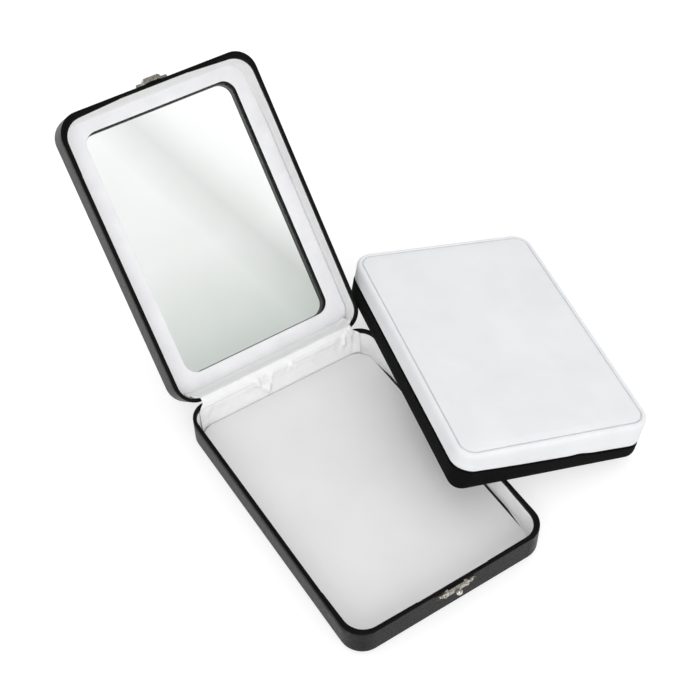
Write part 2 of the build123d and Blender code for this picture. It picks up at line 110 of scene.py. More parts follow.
def clamp(value):
    """A value held between 0 and 1."""
    return min(max(value, 0), 1)


def between(a, b, share):
    """The value that lies so far on the way from a to b."""
    return a + (b - a) * share


def toward(a, b, share):
    """The point that lies so far on the way from a to b."""
    return tuple(between(p, q, share) for p, q in zip(a, b))


def in_metres(place):
    """A placement in millimetres, made to act on metres."""
    return Matrix.Scale(MM, 4) @ place @ Matrix.Scale(1 / MM, 4)


def outline(half_w, half_l, radius, corner_steps=14, side_steps=(40, 56)):
    """Points round a rounded rectangle, from the middle of the back side, clockwise seen from above."""
    radius = max(radius, 0.05)
    points = []
    cx, cy = half_w - radius, half_l - radius

    def side(ax, ay, bx, by, count):
        for i in range(count):
            t = i / count
            points.append((between(ax, bx, t), between(ay, by, t)))

    def corner(ox, oy, start):
        for i in range(corner_steps):
            a = start - math.pi / 2 * i / corner_steps
            points.append((ox + radius * math.cos(a), oy + radius * math.sin(a)))

    half = side_steps[0] // 2
    side(0, half_l, cx, half_l, half)
    corner(cx, cy, math.pi / 2)
    side(half_w, cy, half_w, -cy, side_steps[1])
    corner(cx, -cy, 0)
    side(cx, -half_l, -cx, -half_l, side_steps[0])
    corner(-cx, -cy, -math.pi / 2)
    side(-half_w, -cy, -half_w, cy, side_steps[1])
    corner(-cx, cy, math.pi)
    side(-cx, half_l, 0, half_l, half)
    return points


def outside(x, y, half_w, half_l, radius):
    """Distance of a point from a rounded rectangle, negative inside it."""
    qx = abs(x) - (half_w - radius)
    qy = abs(y) - (half_l - radius)
    return math.hypot(max(qx, 0), max(qy, 0)) + min(max(qx, qy), 0) - radius


def make(name, verts, faces, smooth=True):
    """A mesh object from points in millimetres."""
    mesh = bpy.data.meshes.new(name)
    mesh.from_pydata([tuple(c * MM for c in v) for v in verts], [], faces)
    mesh.validate()
    if smooth:
        mesh.shade_smooth()
    obj = bpy.data.objects.new(name, mesh)
    bpy.context.collection.objects.link(obj)
    return obj


def apply_all(obj):
    """Applies the modifiers of an object."""
    bpy.context.view_layer.update()
    deps = bpy.context.evaluated_depsgraph_get()
    mesh = bpy.data.meshes.new_from_object(obj.evaluated_get(deps))
    obj.modifiers.clear()
    old = obj.data
    obj.data = mesh
    bpy.data.meshes.remove(old)


def thicken(obj, thickness):
    """Gives a sheet its thickness in millimetres, half to each side."""
    solid = obj.modifiers.new("thickness", "SOLIDIFY")
    solid.thickness = thickness * MM
    solid.offset = 0
    apply_all(obj)
    obj.data.shade_smooth()


def face_outward(obj):
    """Turns the faces of a closed mesh outward."""
    mesh = bmesh.new()
    mesh.from_mesh(obj.data)
    bmesh.ops.recalc_face_normals(mesh, faces=mesh.faces)
    mesh.to_mesh(obj.data)
    mesh.free()


def evenly(points, count):
    """Evenly spaced points on a broken line, as (distance, point, segment), and the line's length."""
    total = [0.0]
    for a, b in zip(points, points[1:]):
        total.append(total[-1] + math.dist(a, b))
    spaced = []
    k = 0
    for i in range(count):
        s = total[-1] * i / (count - 1)
        while k < len(total) - 2 and total[k + 1] < s:
            k += 1
        t = min((s - total[k]) / max(total[k + 1] - total[k], 1e-9), 1)
        spaced.append((s, toward(points[k], points[k + 1], t), k))
    return spaced, total[-1]


def grid_faces(rows, cols, closed=False):
    """Quads over rows x cols points, closed round the columns if asked."""
    faces = []
    span = cols if closed else cols - 1
    for r in range(rows - 1):
        for c in range(span):
            d = (c + 1) % cols
            faces.append((r * cols + c, r * cols + d, (r + 1) * cols + d, (r + 1) * cols + c))
    return faces


def wave(x, y, z=0.0, scale=1.0, seed=0.0):
    """Smooth noise from -1 to 1, steady from run to run."""
    return noise.noise(Vector((x * scale + seed, y * scale - seed * 0.7, z * scale + seed * 1.3)))


def bump(t, centre, width):
    """Smooth hump of height 1."""
    u = (t - centre) / width
    return math.exp(-u * u)


def skin(obj, material):
    """Puts one material on an object, in place of what it has."""
    obj.data.materials.clear()
    obj.data.materials.append(material)
    return obj


# Materials


def empty_tree(owner):
    """The node tree of a material or a world, emptied."""
    owner.use_nodes = True
    owner.node_tree.nodes.clear()
    return owner.node_tree


def put(node, **values):
    """Sets some inputs of a node, with _ for the spaces in their names."""
    for key, value in values.items():
        node.inputs[key.replace("_", " ")].default_value = value


def new_node(tree, kind, **values):
    """A new shader node of one kind, with some of its inputs set."""
    node = tree.nodes.new("ShaderNode" + kind)
    put(node, **values)
    return node


class Maker:
    """Short hand for building one node material."""

    def __init__(self, name):
        self.material = bpy.data.materials.new(name)
        self.tree = empty_tree(self.material)
        self.shader = new_node(self.tree, "BsdfPrincipled")
        self.link(self.shader.outputs[0], new_node(self.tree, "OutputMaterial").inputs[0])
        self.where = new_node(self.tree, "TexCoord").outputs["Object"]

    def put(self, **values):
        put(self.shader, **values)

    def link(self, a, b):
        self.tree.links.new(a, b)

    def mapped(self, scale=(1, 1, 1)):
        node = new_node(self.tree, "Mapping", Scale=scale)
        self.link(self.where, node.inputs["Vector"])
        return node.outputs[0]

    def noise(self, scale, detail=3.0, rough=0.55, vector=None, distortion=0.0):
        values = {"Scale": scale, "Detail": detail, "Roughness": rough, "Distortion": distortion}
        node = new_node(self.tree, "TexNoise", **values)
        self.link(vector or self.where, node.inputs["Vector"])
        return node.outputs["Fac"]

    def cells(self, scale):
        node = new_node(self.tree, "TexVoronoi", Scale=scale)
        self.link(self.mapped(), node.inputs["Vector"])
        return node.outputs["Distance"]

    def waves(self, scale, vector=None, distortion=0.0, direction="X", detail=1.0):
        node = new_node(self.tree, "TexWave", Scale=scale, Distortion=distortion, Detail=detail)
        node.bands_direction = direction
        self.link(vector or self.where, node.inputs["Vector"])
        return node.outputs["Fac"]

    def ramp(self, fac, stops):
        node = new_node(self.tree, "ValToRGB")
        items = node.color_ramp.elements
        while len(items) < len(stops):
            items.new(0.5)
        for item, (place, colour) in zip(items, stops):
            item.position = place
            item.color = (*colour, 1)
        self.link(fac, node.inputs[0])
        return node.outputs[0]

    def math(self, kind, a, b):
        node = new_node(self.tree, "Math")
        node.operation = kind
        for socket, value in zip(node.inputs, (a, b)):
            if isinstance(value, (int, float)):
                socket.default_value = value
            else:
                self.link(value, socket)
        return node.outputs[0]

    def along(self, run, foot):
        """Place along a line in the piece's own coordinates: 0 at its foot and 1 at the end of the run."""
        shift = new_node(self.tree, "VectorMath")
        shift.operation = "SUBTRACT"
        self.link(self.where, shift.inputs[0])
        shift.inputs[1].default_value = foot
        dot = new_node(self.tree, "VectorMath")
        dot.operation = "DOT_PRODUCT"
        self.link(shift.outputs[0], dot.inputs[0])
        dot.inputs[1].default_value = run / run.length_squared
        return dot.outputs["Value"]

    def multiply(self, a, b):
        """The product of two colours."""
        node = new_node(self.tree, "Mix", Factor=1.0)
        node.data_type = "RGBA"
        node.blend_type = "MULTIPLY"
        self.link(a, node.inputs[6])
        self.link(b, node.inputs[7])
        return node.outputs[2]

    def relief(self, height, strength=0.5, distance=0.0001, before=None):
        node = new_node(self.tree, "Bump", Strength=strength, Distance=distance)
        self.link(height, node.inputs["Height"])
        if before is not None:
            self.link(before, node.inputs["Normal"])
        return node.outputs[0]

    def colour(self, socket):
        self.link(socket, self.shader.inputs["Base Color"])

    def roughness(self, socket):
        self.link(socket, self.shader.inputs["Roughness"])

    def normal(self, socket):
        self.link(socket, self.shader.inputs["Normal"])


def grey(value):
    """A neutral colour."""
    return (value, value, value)


# By the rim the leather's left side gets a painted darker reflection: its specular level is cut there, in
# place of the dark room beyond the table's edge.
# The band ends so far from the rim plane, in millimetres, downward on the base and upward on the closed lid.
DARK_REFLECTION_END = 5.0
DARK_REFLECTION_RUN = 2.5
DARK_REFLECTION_SIDE = {"base_leatherette": -1, "lid_leatherette": 1}
BLACK_TO_WHITE = [(0.0, (0, 0, 0)), (1.0, (1, 1, 1))]


def leatherette(name, place):
    """Black leatherette. By the rim the left side has a painted darker reflection and mirrors less of the
    table.
    """
    m = Maker(name)
    grain = m.cells(1700)
    fine = m.noise(1400, 3, 0.7)
    blotch = m.noise(60, 3)
    m.colour(m.ramp(blotch, [(0.3, (0.0034, 0.0037, 0.0033)), (0.7, (0.0055, 0.006, 0.0053))]))
    m.roughness(m.ramp(fine, [(0.3, grey(0.3)), (0.7, grey(0.42))]))
    height = m.math("ADD", grain, m.math("MULTIPLY", fine, 0.3))
    m.normal(m.relief(height, 0.55, 0.0001))
    m.put(Specular_Tint=(0.97, 1.0, 0.955, 1))
    local = nodes[name].matrix_world.inverted() @ place
    turn = local.to_3x3()
    foot = local @ (Vector((1.0 - CASE_W / 2, 0, BASE_H + DARK_REFLECTION_END * DARK_REFLECTION_SIDE[name])) * MM)
    rise = turn @ (Vector((0, 0, -DARK_REFLECTION_RUN * DARK_REFLECTION_SIDE[name])) * MM)
    up = m.ramp(m.along(rise, foot), BLACK_TO_WHITE)
    left = m.ramp(m.along(turn @ (Vector((-1.0, 0, 0)) * MM), foot), BLACK_TO_WHITE)
    # painted darker reflection: the specular level is cut by the rim on the left side
    painted_dark_reflection = m.math("MULTIPLY", up, left)
    worn = m.ramp(m.noise(850, 3, 0.7), [(0.4, grey(0.068)), (0.6, grey(0.118))])
    reflection_kept = m.math("SUBTRACT", 1.0, m.math("MULTIPLY", painted_dark_reflection, 0.88))
    m.link(m.math("MULTIPLY", worn, reflection_kept), m.shader.inputs["Specular IOR Level"])
    return m.material


def painted_steel():
    """Dark olive paint on the pressed steel shells."""
    m = Maker("painted_steel")
    mottle = m.noise(340, 4)
    m.colour(m.ramp(mottle, [(0.3, (0.022, 0.024, 0.016)), (0.7, (0.05, 0.052, 0.036))]))
    m.roughness(m.ramp(mottle, [(0.3, grey(0.35)), (0.7, grey(0.5))]))
    m.normal(m.relief(m.noise(1500, 2), 0.12, 0.00005))
    m.put(Metallic=0.25)
    return m.material


def satin(name, low, high, crush=1.0):
    """White satin: fine weft lines, soft mottling, a speckle of bright threads and a silky sheen."""
    m = Maker(name)
    mottle = m.noise(190, 3, 0.5, m.mapped((1, 1, 1.6)))
    thread = m.waves(2600, m.mapped(), 1.5, "DIAGONAL", 2)
    speckle = m.noise(1500, 3, 0.7)
    m.colour(m.ramp(mottle, [(0.3, grey(low)), (0.72, grey(high))]))
    m.roughness(m.ramp(mottle, [(0.3, grey(0.3)), (0.75, grey(0.38))]))
    soft = m.relief(m.noise(260, 2, 0.5, m.mapped((1, 1, 1.4))), 0.16 * crush, 0.0004)
    grainy = m.relief(speckle, 0.7, 0.00016, soft)
    m.normal(m.relief(thread, 0.16, 0.00003, grainy))
    m.put(Specular_IOR_Level=0.6, Sheen_Weight=0.2, Sheen_Roughness=0.35, Sheen_Tint=(1, 1, 1, 1))
    return m.material


def frame_cloth():
    """Matte white cloth on the window frame, fine plain weave."""
    m = Maker("frame_cloth")
    a = m.waves(2100, m.mapped(), 0.6, "X", 1)
    b = m.waves(2100, m.mapped(), 0.6, "Z", 1)
    weave = m.math("MULTIPLY", a, b)
    tone = m.noise(75, 3)
    m.colour(m.ramp(tone, [(0.3, (0.77, 0.77, 0.785)), (0.7, (0.84, 0.84, 0.855))]))
    m.roughness(m.ramp(m.noise(900, 2), [(0.3, grey(0.45)), (0.7, grey(0.62))]))
    soft = m.relief(m.noise(210, 3), 0.5, 0.0003)
    grainy = m.relief(m.noise(1100, 3, 0.7), 0.4, 0.00012, soft)
    m.normal(m.relief(weave, 0.25, 0.00004, grainy))
    m.put(Sheen_Weight=0.15)
    return m.material


def card(name, low, high, rough=0.7):
    """Card, board or wadding with fine fibres."""
    m = Maker(name)
    fibre = m.noise(2400, 4, 0.7)
    tone = m.noise(26, 3)
    m.colour(m.ramp(tone, [(0.3, low), (0.7, high)]))
    m.roughness(m.ramp(fibre, [(0.3, grey(rough - 0.06)), (0.7, grey(rough + 0.08))]))
    m.normal(m.relief(fibre, 0.1, 0.00003))
    return m.material


def nickel():
    """Tarnished nickel of the clasp."""
    m = Maker("nickel")
    stain = m.noise(900, 4, 0.65)
    m.colour(m.ramp(stain, [(0.32, (0.38, 0.355, 0.3)), (0.62, (0.76, 0.735, 0.67))]))
    m.roughness(m.ramp(m.noise(2600, 3), [(0.3, grey(0.18)), (0.7, grey(0.34))]))
    m.normal(m.relief(m.noise(1900, 4), 0.3, 0.00006))
    m.put(Metallic=1.0)
    return m.material


def steel(name, base, rough):
    """Brushed steel."""
    m = Maker(name)
    brushed = m.noise(900, 3, 0.6, m.mapped((0.1, 1, 1)))
    dark = tuple(c * 0.7 for c in base)
    m.colour(m.ramp(brushed, [(0.3, dark), (0.7, base)]))
    m.roughness(m.ramp(brushed, [(0.3, grey(rough)), (0.7, grey(rough + 0.15))]))
    m.normal(m.relief(brushed, 0.12, 0.00003))
    m.put(Metallic=1.0)
    return m.material


def glass():
    """Window glass with a faint green tint, a soft diagonal band of painted reflection, painted shade toward
    the hinge so that it is lighter toward the lid's front, and patches of painted brightening.
    """
    m = Maker("window_glass")
    along = m.along(LID_RUN, LID_FOOT)
    across = m.along(PAINTED_BAND_RUN, LID_FOOT)
    # painted reflection: a soft diagonal band over the glass, darker in its middle
    painted_band_values = [(0.0, 0.72), (0.36, 0.73), (0.6, 0.61), (0.8, 0.75), (1.0, 0.82)]
    painted_reflection_band = m.ramp(across, [(place, grey(value)) for place, value in painted_band_values])
    # the green tint is the glass's own; its darkening toward the hinge is painted shade, for the case's
    # shadow on the ground seen through the glass
    tint = [(0.1, (0.74, 0.79, 0.755)), (0.45, (0.93, 0.95, 0.935)), (1.0, (0.965, 0.975, 0.97))]
    tint_and_painted_shade = m.ramp(along, tint)
    # painted brightening in soft patches
    painted_brightening = m.ramp(m.noise(18, 2), [(0.3, grey(1.24)), (0.7, grey(1.3))])
    m.colour(m.multiply(m.multiply(painted_reflection_band, tint_and_painted_shade), painted_brightening))
    m.roughness(m.ramp(m.noise(40, 2), [(0.3, grey(0.0)), (0.8, grey(0.012))]))
    m.put(Transmission_Weight=1.0, IOR=1.5)
    return m.material


def velvet(name, low, high, sheen, tint, pile=0.6):
    """Short-pile velvet: fine fibre relief, brushed patches and a soft sheen."""
    m = Maker(name)
    patch = m.noise(34, 4, 0.55, None, 0.4)
    pile_noise = m.noise(3600, 2, 0.7)
    m.colour(m.ramp(patch, [(0.3, low), (0.72, high)]))
    m.roughness(m.ramp(pile_noise, [(0.3, grey(0.84)), (0.7, grey(0.95))]))
    soft = m.relief(m.noise(260, 3, 0.6), 0.18 * pile, 0.0003)
    m.normal(m.relief(pile_noise, pile, 0.00012, soft))
    m.put(Sheen_Weight=sheen, Sheen_Roughness=0.4, Specular_IOR_Level=0.12, Sheen_Tint=(*tint, 1))
    return m.material


# Directions over the glass, in the glass's own coordinates
PAINTED_BAND_LENGTH = 80.0
PAINTED_BAND_SLANT = Vector((95, -47, 0)).normalized()
pane = nodes["lid_glass"].matrix_world.inverted()
pane_turn = pane.to_3x3() @ SWING.to_3x3()
LID_FOOT = pane @ (SWING @ Vector((0, HINGE_Y, HINGE_Z + LID_H)) * MM)
LID_RUN = pane_turn @ (Vector((0, -CASE_L, 0)) * MM)
PAINTED_BAND_RUN = pane_turn @ (PAINTED_BAND_SLANT * PAINTED_BAND_LENGTH * MM)

mat_leather_base = leatherette("base_leatherette", IDENTITY)
mat_leather_lid = leatherette("lid_leatherette", in_metres(SWING))
mat_steel_paint = painted_steel()
mat_satin = satin("lining_satin", 0.79, 0.85)
# painted light: the band is the lining's satin made lighter, for the front light that falls on it
mat_band_lit_copy = satin("band_satin_lit_copy", 0.83, 0.87, 0.6)
mat_frame = frame_cloth()
mat_floor_card = card("floor_card", (0.75, 0.75, 0.757), (0.785, 0.785, 0.792))
# painted shade: the frame card and the window spacer are made near-black, so the card's edge by the window
# shows as the shadow in the gap between cloth and glass
mat_board_painted_shade = card("board_painted_shade", (0.012, 0.012, 0.012), (0.022, 0.022, 0.021), 0.8)
mat_nickel = nickel()
mat_hinge = steel("hinge_steel", (0.5, 0.5, 0.48), 0.3)
mat_nail = steel("dark_nail", (0.05, 0.05, 0.05), 0.35)
mat_glass = glass()
mat_white = velvet("velvet_white", (0.735, 0.745, 0.76), (0.785, 0.793, 0.808), 0.3, (0.97, 0.98, 1.0))
mat_black = velvet(
    "velvet_black", (0.0018, 0.0018, 0.0021), (0.0032, 0.0032, 0.0036), 0.02, (0.5, 0.5, 0.55), 0.5
)
mat_foam = card("pad_foam", (0.72, 0.7, 0.62), (0.8, 0.78, 0.7), 0.9)

NODE_MATERIALS = {
    "base_shell": mat_steel_paint, "lid_shell": mat_steel_paint,
    "base_leatherette": mat_leather_base, "lid_leatherette": mat_leather_lid,
    "base_wall_card": mat_floor_card, "lid_wall_card": mat_floor_card,
    "base_floor_card": mat_floor_card, "lid_frame_card": mat_board_painted_shade,
    "hinge_leaf_base": mat_hinge, "hinge_leaf_lid": mat_hinge, "hinge_pin": mat_hinge,
    "hinge_rivets_base": mat_hinge, "hinge_rivets_lid": mat_hinge,
    "clasp_base_plate": mat_nickel, "clasp_button": mat_nickel, "clasp_lid_plate": mat_nickel,
    "clasp_hook": mat_nickel, "clasp_spring": mat_hinge,
    "clasp_base_nails": mat_nail, "clasp_lid_nails": mat_nail,
    "lid_glass": mat_glass, "window_spacer": mat_board_painted_shade,
    "pad_board": mat_floor_card, "pad_foam_white": mat_foam, "pad_foam_black": mat_foam,
}
for node_name, material in NODE_MATERIALS.items():
    skin(nodes[node_name], material)


# Satin on the walls

# The skin is gathered in the front corners, from these distances off the middle of the case
GATHER_X = 18.0
GATHER_X_RUN = 24.0
GATHER_Y = 46.0
GATHER_Y_RUN = 18.0
GATHER_R = 10.0
BASE_PUSH = (0.45, 0.3)
LID_PUSH = (0.35, 1.3)
# The latch's pocket behind the base's front lining, and how far the lining bulges over it
POCKET_X = -6.0
POCKET_Y = -70.0
POCKET_HALF = 11.8
POCKET_LOW = 6.2
POCKET_EASE = 1.4
POCKET_BULGE = 0.5
# The lid's front lining leans in toward the frame
LEAN_FROM = 40.0
LEAN_SPAN = 32.0
LID_LEAN = 2.4
# Under the rim the strip is turned over its card, and at the floor its foot runs on toward the floor card
TURNED = 0.5
UNDER_RIM = 0.02
STRIP_FOOT = 1.45
STRIP_IN_FRAME = 0.3
FOOT_LENGTH = 1.6
FLOOR_GAP = 0.3
FOOT = [(0.32, 1.0), (0.3, 0.7), (0.22, 0.35), (0.1, 0.1)]
FOOT_FROM = 48.0
FOOT_RUN = 14.0
# The satin is less even toward the corners, round this distance off the middle and beyond this one
UNEVEN_X = 46
UNEVEN_RUN = 9
UNEVEN_Y = 62


def drawn_in(x, y, push, share=1.0):
    """A point of the inner walls, moved inward near a front corner, where the gathered skin takes room."""
    near = clamp((abs(x) - GATHER_X) / GATHER_X_RUN) * clamp((-y - GATHER_Y) / GATHER_Y_RUN) * share
    return x - math.copysign(push[0], x) * near, y + push[1] * near


def over_pocket(x, y, h):
    """How far a point of the base's lining lies over the latch's pocket, where the lining bulges."""
    across = clamp((POCKET_HALF - abs(x - POCKET_X)) / POCKET_EASE)
    return across * clamp((h - POCKET_LOW) / POCKET_EASE) * (y < POCKET_Y)


def wall_run():
    """Points along the inner walls, from one end of the hinge band round the front to the other."""
    half_w, half_l = CASE_W / 2 - WALL_LINE, CASE_L / 2 - WALL_LINE
    steps = (24, (60, 90))
    back = outline(half_w, half_l, CORNER - WALL_LINE, *steps)
    front = outline(half_w, half_l, GATHER_R, *steps)
    split = next(i for i, p in enumerate(back) if p[1] < 0)
    resume = next(i for i, p in enumerate(back) if i > split and p[1] >= 0)
    path = back[:split] + [p for p in front if p[1] < 0] + back[resume:]
    start = next(i for i, p in enumerate(path) if p[1] > 0 and p[0] >= BAND_END)
    return path[start : len(path) - start]


def strip_levels(low, high, flip, rows=14):
    """Heights on a lining strip, each as (height, share of the way up, turned out by, foot's reach)."""
    levels = [(low + (high - low) * r / (rows - 1), r / (rows - 1), 0.0, 0.0) for r in range(rows)]
    if flip:
        return [(low, 0.0, out, 0.0) for out in (TURNED, TURNED / 2)] + levels
    levels += [(high, 1.0, out, 0.0) for out in (TURNED / 2, TURNED)]
    return [(low - drop, 0.0, 0.0, reach) for drop, reach in FOOT] + levels


def foot_reach(x, y):
    """How far the base strip's foot runs out to the floor card, which it does near the corners only."""
    mid_x, mid_y = sum(FLOOR_X) / 2, sum(FLOOR_Y) / 2
    gap = outside(x - mid_x, y - mid_y, FLOOR_X[1] - mid_x, FLOOR_Y[1] - mid_y, FLOOR_R)
    return clamp((abs(y) - FOOT_FROM) / FOOT_RUN) * max(min(gap - FLOOR_GAP, FOOT_LENGTH), 0)


def lining_strip(name, low, high, place, flip, seed, push, lean, columns=460):
    """Satin strip round the inner walls, open at the back where the band over the hinge begins.

    By the rim its front corners are pushed in, and its front wall leans in by the lean at full depth.
    """
    run = wall_run()
    spaced, length = evenly(run, columns)
    levels = strip_levels(low, high, flip)
    verts = []
    for h, v, out, reach in levels:
        # it lies flat on the card at its edges
        edge = math.sin(math.pi * clamp(v)) ** 0.5
        for s, (x, y), k in spaced:
            dx, dy = run[k + 1][0] - run[k][0], run[k + 1][1] - run[k][1]
            norm = math.hypot(dx, dy) or 1.0
            nx, ny = dy / norm, -dx / norm
            d = 0.07 * wave(s, h * 2.2, 0, 0.22, seed) + 0.05 * wave(s, h, 0, 0.7, seed + 9)
            if abs(y) > UNEVEN_Y:
                uneven = 1 - min(abs(abs(x) - UNEVEN_X) / UNEVEN_RUN, 1)
                d += 0.1 * uneven * wave(s * 1.6, h * 0.5, 0, 0.5, seed + 4)
            pocket = 0.0 if flip else over_pocket(x, y, h)
            d = (d + 0.03) * edge - out * (1 - pocket) + POCKET_BULGE * pocket
            d += lean * v * clamp((-y - LEAN_FROM) / LEAN_SPAN)
            if reach:
                d += reach * foot_reach(x, y)
            z = HINGE_Z + h if flip else h
            point = (*drawn_in(x + nx * d, y + ny * d, push, 1 - v if flip else v), z)
            verts.append(tuple(place @ Vector(point)))
    obj = make(name, verts, grid_faces(len(levels), columns))
    thicken(obj, CLOTH)
    skin(obj, mat_satin)
    return obj, length, abs(high - low) + TURNED + (0 if flip else FOOT_LENGTH)


base_lining, lining_run, lining_tall = lining_strip(
    "satin_base_walls", STRIP_FOOT, BASE_H - WRAP - UNDER_RIM, IDENTITY, False, 3.1, BASE_PUSH, 0.0
)
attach(base_lining, "base")
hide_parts("base_wall_satin")

lid_lining, lid_run, lid_tall = lining_strip(
    "satin_lid_walls", WRAP + UNDER_RIM, FRAME_DEPTH + STRIP_IN_FRAME, SWING, True, 7.7, LID_PUSH, LID_LEAN
)
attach(lid_lining, "lid")
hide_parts("lid_wall_satin")


# The skin's gathers in the front corners

GATHER_OUT = 1.5
GATHER_IN = 1.98
# The section runs from inside the rim inward and down the wall, as shares of the gather and depths
GATHER = [(0.0, 0.12), (0.35, 0.1), (0.65, 0.18), (0.88, 0.42), (1.0, 0.85), (1.0, 2.9), (0.0, 2.9)]


def corner_gathers(name, rim_z, down, push, place, material, body):
    """The skin bunched under the rim in both front corners, so that the opening is smaller there."""
    steps = (20, (60, 90))
    wall = outline(CASE_W / 2 - GATHER_OUT, CASE_L / 2 - GATHER_OUT, CORNER - GATHER_OUT, *steps)
    edge = outline(CASE_W / 2 - GATHER_IN, CASE_L / 2 - GATHER_IN, GATHER_R, *steps)
    verts, faces = [], []
    count = len(GATHER)
    for side in (1, -1):
        arc = [(a, b) for a, b in zip(wall, edge) if b[0] * side > GATHER_X and b[1] < -GATHER_Y]
        first = len(verts)
        for a, b in arc:
            b = drawn_in(*b, push)
            for share, depth in GATHER:
                point = (*toward(a, b, share), rim_z + down * depth)
                verts.append(tuple(place @ Vector(point)))
        for i in range(len(arc) - 1):
            for k in range(count):
                p = first + i * count + k
                q = first + i * count + (k + 1) % count
                faces.append((p, q, q + count, p + count))
        last = first + (len(arc) - 1) * count
        faces.append(tuple(range(first, first + count)))
        faces.append(tuple(range(last + count - 1, last - 1, -1)))
    obj = make(name, verts, faces)
    face_outward(obj)
    skin(obj, material)
    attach(obj, body)


corner_gathers("base_corner_gathers", BASE_H, -1, BASE_PUSH, IDENTITY, mat_leather_base, "base")
corner_gathers("lid_corner_gathers", HINGE_Z, 1, LID_PUSH, SWING, mat_leather_lid, "lid")


# Cloth frame round the window

# The cloth is tucked down along the wall, as (inset, depth), and from its end goes in shares to the window
TUCK = [(2.05, 0.22), (2.35, 0.19), (2.58, 0.07), (2.9, 0.0)]
TUCK_END = 3.4
TO_WINDOW = [0.0, 0.15, 0.35, 0.55, 0.72, 0.86]
# It turns over the window's edge, as (distance out from the edge, depth)
OVER_EDGE = [(0.7, 0.0), (0.38, 0.02), (0.18, 0.08), (0.05, 0.22), (0.02, 0.4)]
FRAME_LIFT = 0.08


def window_frame():
    """Cloth drawn over the frame card and round its inner edge."""
    steps = (14, (44, 60))

    def wall_ring(inset):
        return outline(CASE_W / 2 - inset, CASE_L / 2 - inset, CORNER - inset, *steps)

    def window_ring(grow):
        ring = outline(APERTURE_W / 2 + grow, APERTURE_L / 2 + grow, WINDOW_R + grow, *steps)
        return [(x + WINDOW_SHIFT, y - WINDOW_RISE) for x, y in ring]

    rings = [[(x, y, depth) for x, y in wall_ring(inset)] for inset, depth in TUCK]
    tucked = len(rings)
    outer = wall_ring(TUCK_END)
    inner = window_ring(OVER_EDGE[0][0])
    for share in TO_WINDOW:
        rings.append([(*toward(a, b, share), 0.0) for a, b in zip(outer, inner)])
    for grow, depth in OVER_EDGE:
        rings.append([(x, y, depth) for x, y in window_ring(grow)])
    verts = []
    for r, ring in enumerate(rings):
        for x, y, depth in ring:
            lift = 0.0
            step = r - tucked
            if 0 <= step <= len(TO_WINDOW):
                lift = 0.05 + 0.08 * wave(x, y, 0, 0.09, 2.0) + 0.05 * wave(x, y, 0, 0.3, 6.0)
                lift *= 1 - step / 9
            z = HINGE_Z + FRAME_DEPTH + FRAME_LIFT + depth - max(lift, -0.05)
            verts.append(tuple(SWING @ Vector((x, y, z))))
    obj = make("cloth_window_frame", verts, grid_faces(len(rings), len(outer), True))
    thicken(obj, CLOTH)
    return skin(obj, mat_frame)


frame_cloth_piece = window_frame()
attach(frame_cloth_piece, "lid")
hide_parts("lid_frame_satin")


# Satin band over the hinge

BAND_HALF = 46.4
RIDGE_HALF = 43.2
# Where the band crosses the hinge, as a share of its length
RIDGE = 0.56
RIDGE_SPAN = 0.1
BAND_ROWS = 92
BAND_COLS = 250
# The folds take up cloth, so the band is cut longer than its line
BAND_OUT = 3.0
BAND_IN = -0.4
# The band's section: in from the back and up on the base, round the hinge, and in and down in the lid
BASE_SECTION = [(3.5, 1.2), (3.2, 4.0), (2.6, 9.5), (2.75, 13.5), (2.5, 16.4)]
HINGE_SECTION = [(150, 2.4), (112, 2.2), (74, 2.3)]
LID_SECTION = [(2.5, 0.5), (2.9, 3.2), (2.6, 7.0), (3.5, 10.2), (4.4, 11.9)]
SEGMENT_STEPS = 24


def catmull_rom(points, t):
    """A point on the curve between the middle two of four points, at share t."""
    p0, p1, p2, p3 = points
    value = 2 * p1 + (p2 - p0) * t + (2 * p0 - 5 * p1 + 4 * p2 - p3) * t * t
    return 0.5 * (value + (3 * p1 - p0 - 3 * p2 + p3) * t ** 3)


def smooth_line(points, count):
    """Evenly spaced points on a Catmull-Rom line through the given ones, and its length."""
    dense = []
    ends = [tuple(2 * a - b for a, b in zip(points[0], points[1]))] + points
    ends.append(tuple(2 * a - b for a, b in zip(points[-1], points[-2])))
    for i in range(1, len(ends) - 2):
        for k in range(SEGMENT_STEPS):
            dense.append(tuple(catmull_rom(four, k / SEGMENT_STEPS) for four in zip(*ends[i - 1 : i + 3])))
    dense.append(points[-1])
    spaced, length = evenly(dense, count)
    return [point for _, point, _ in spaced], length


def opened_yz(inset, depth):
    """Section point of the opened lid, from its distance in from the back and its depth below the rim."""
    v = SWING @ Vector((0, HINGE_Y - inset, HINGE_Z + depth))
    return (v.y, v.z)


def band_section():
    """The section's points and their normals, and its length."""
    points = [(HINGE_Y - inset, z) for inset, z in BASE_SECTION]
    for degrees, radius in HINGE_SECTION:
        a = math.radians(degrees)
        points.append((HINGE_Y + radius * math.cos(a), HINGE_Z + radius * math.sin(a)))
    points += [opened_yz(inset, depth) for inset, depth in LID_SECTION]
    line, length = smooth_line(points, BAND_ROWS)
    normals = []
    for i in range(len(line)):
        a = line[max(i - 1, 0)]
        b = line[min(i + 1, len(line) - 1)]
        ty, tz = b[0] - a[0], b[1] - a[1]
        n = math.hypot(ty, tz) or 1.0
        normals.append((-tz / n, ty / n))
    return line, normals, length


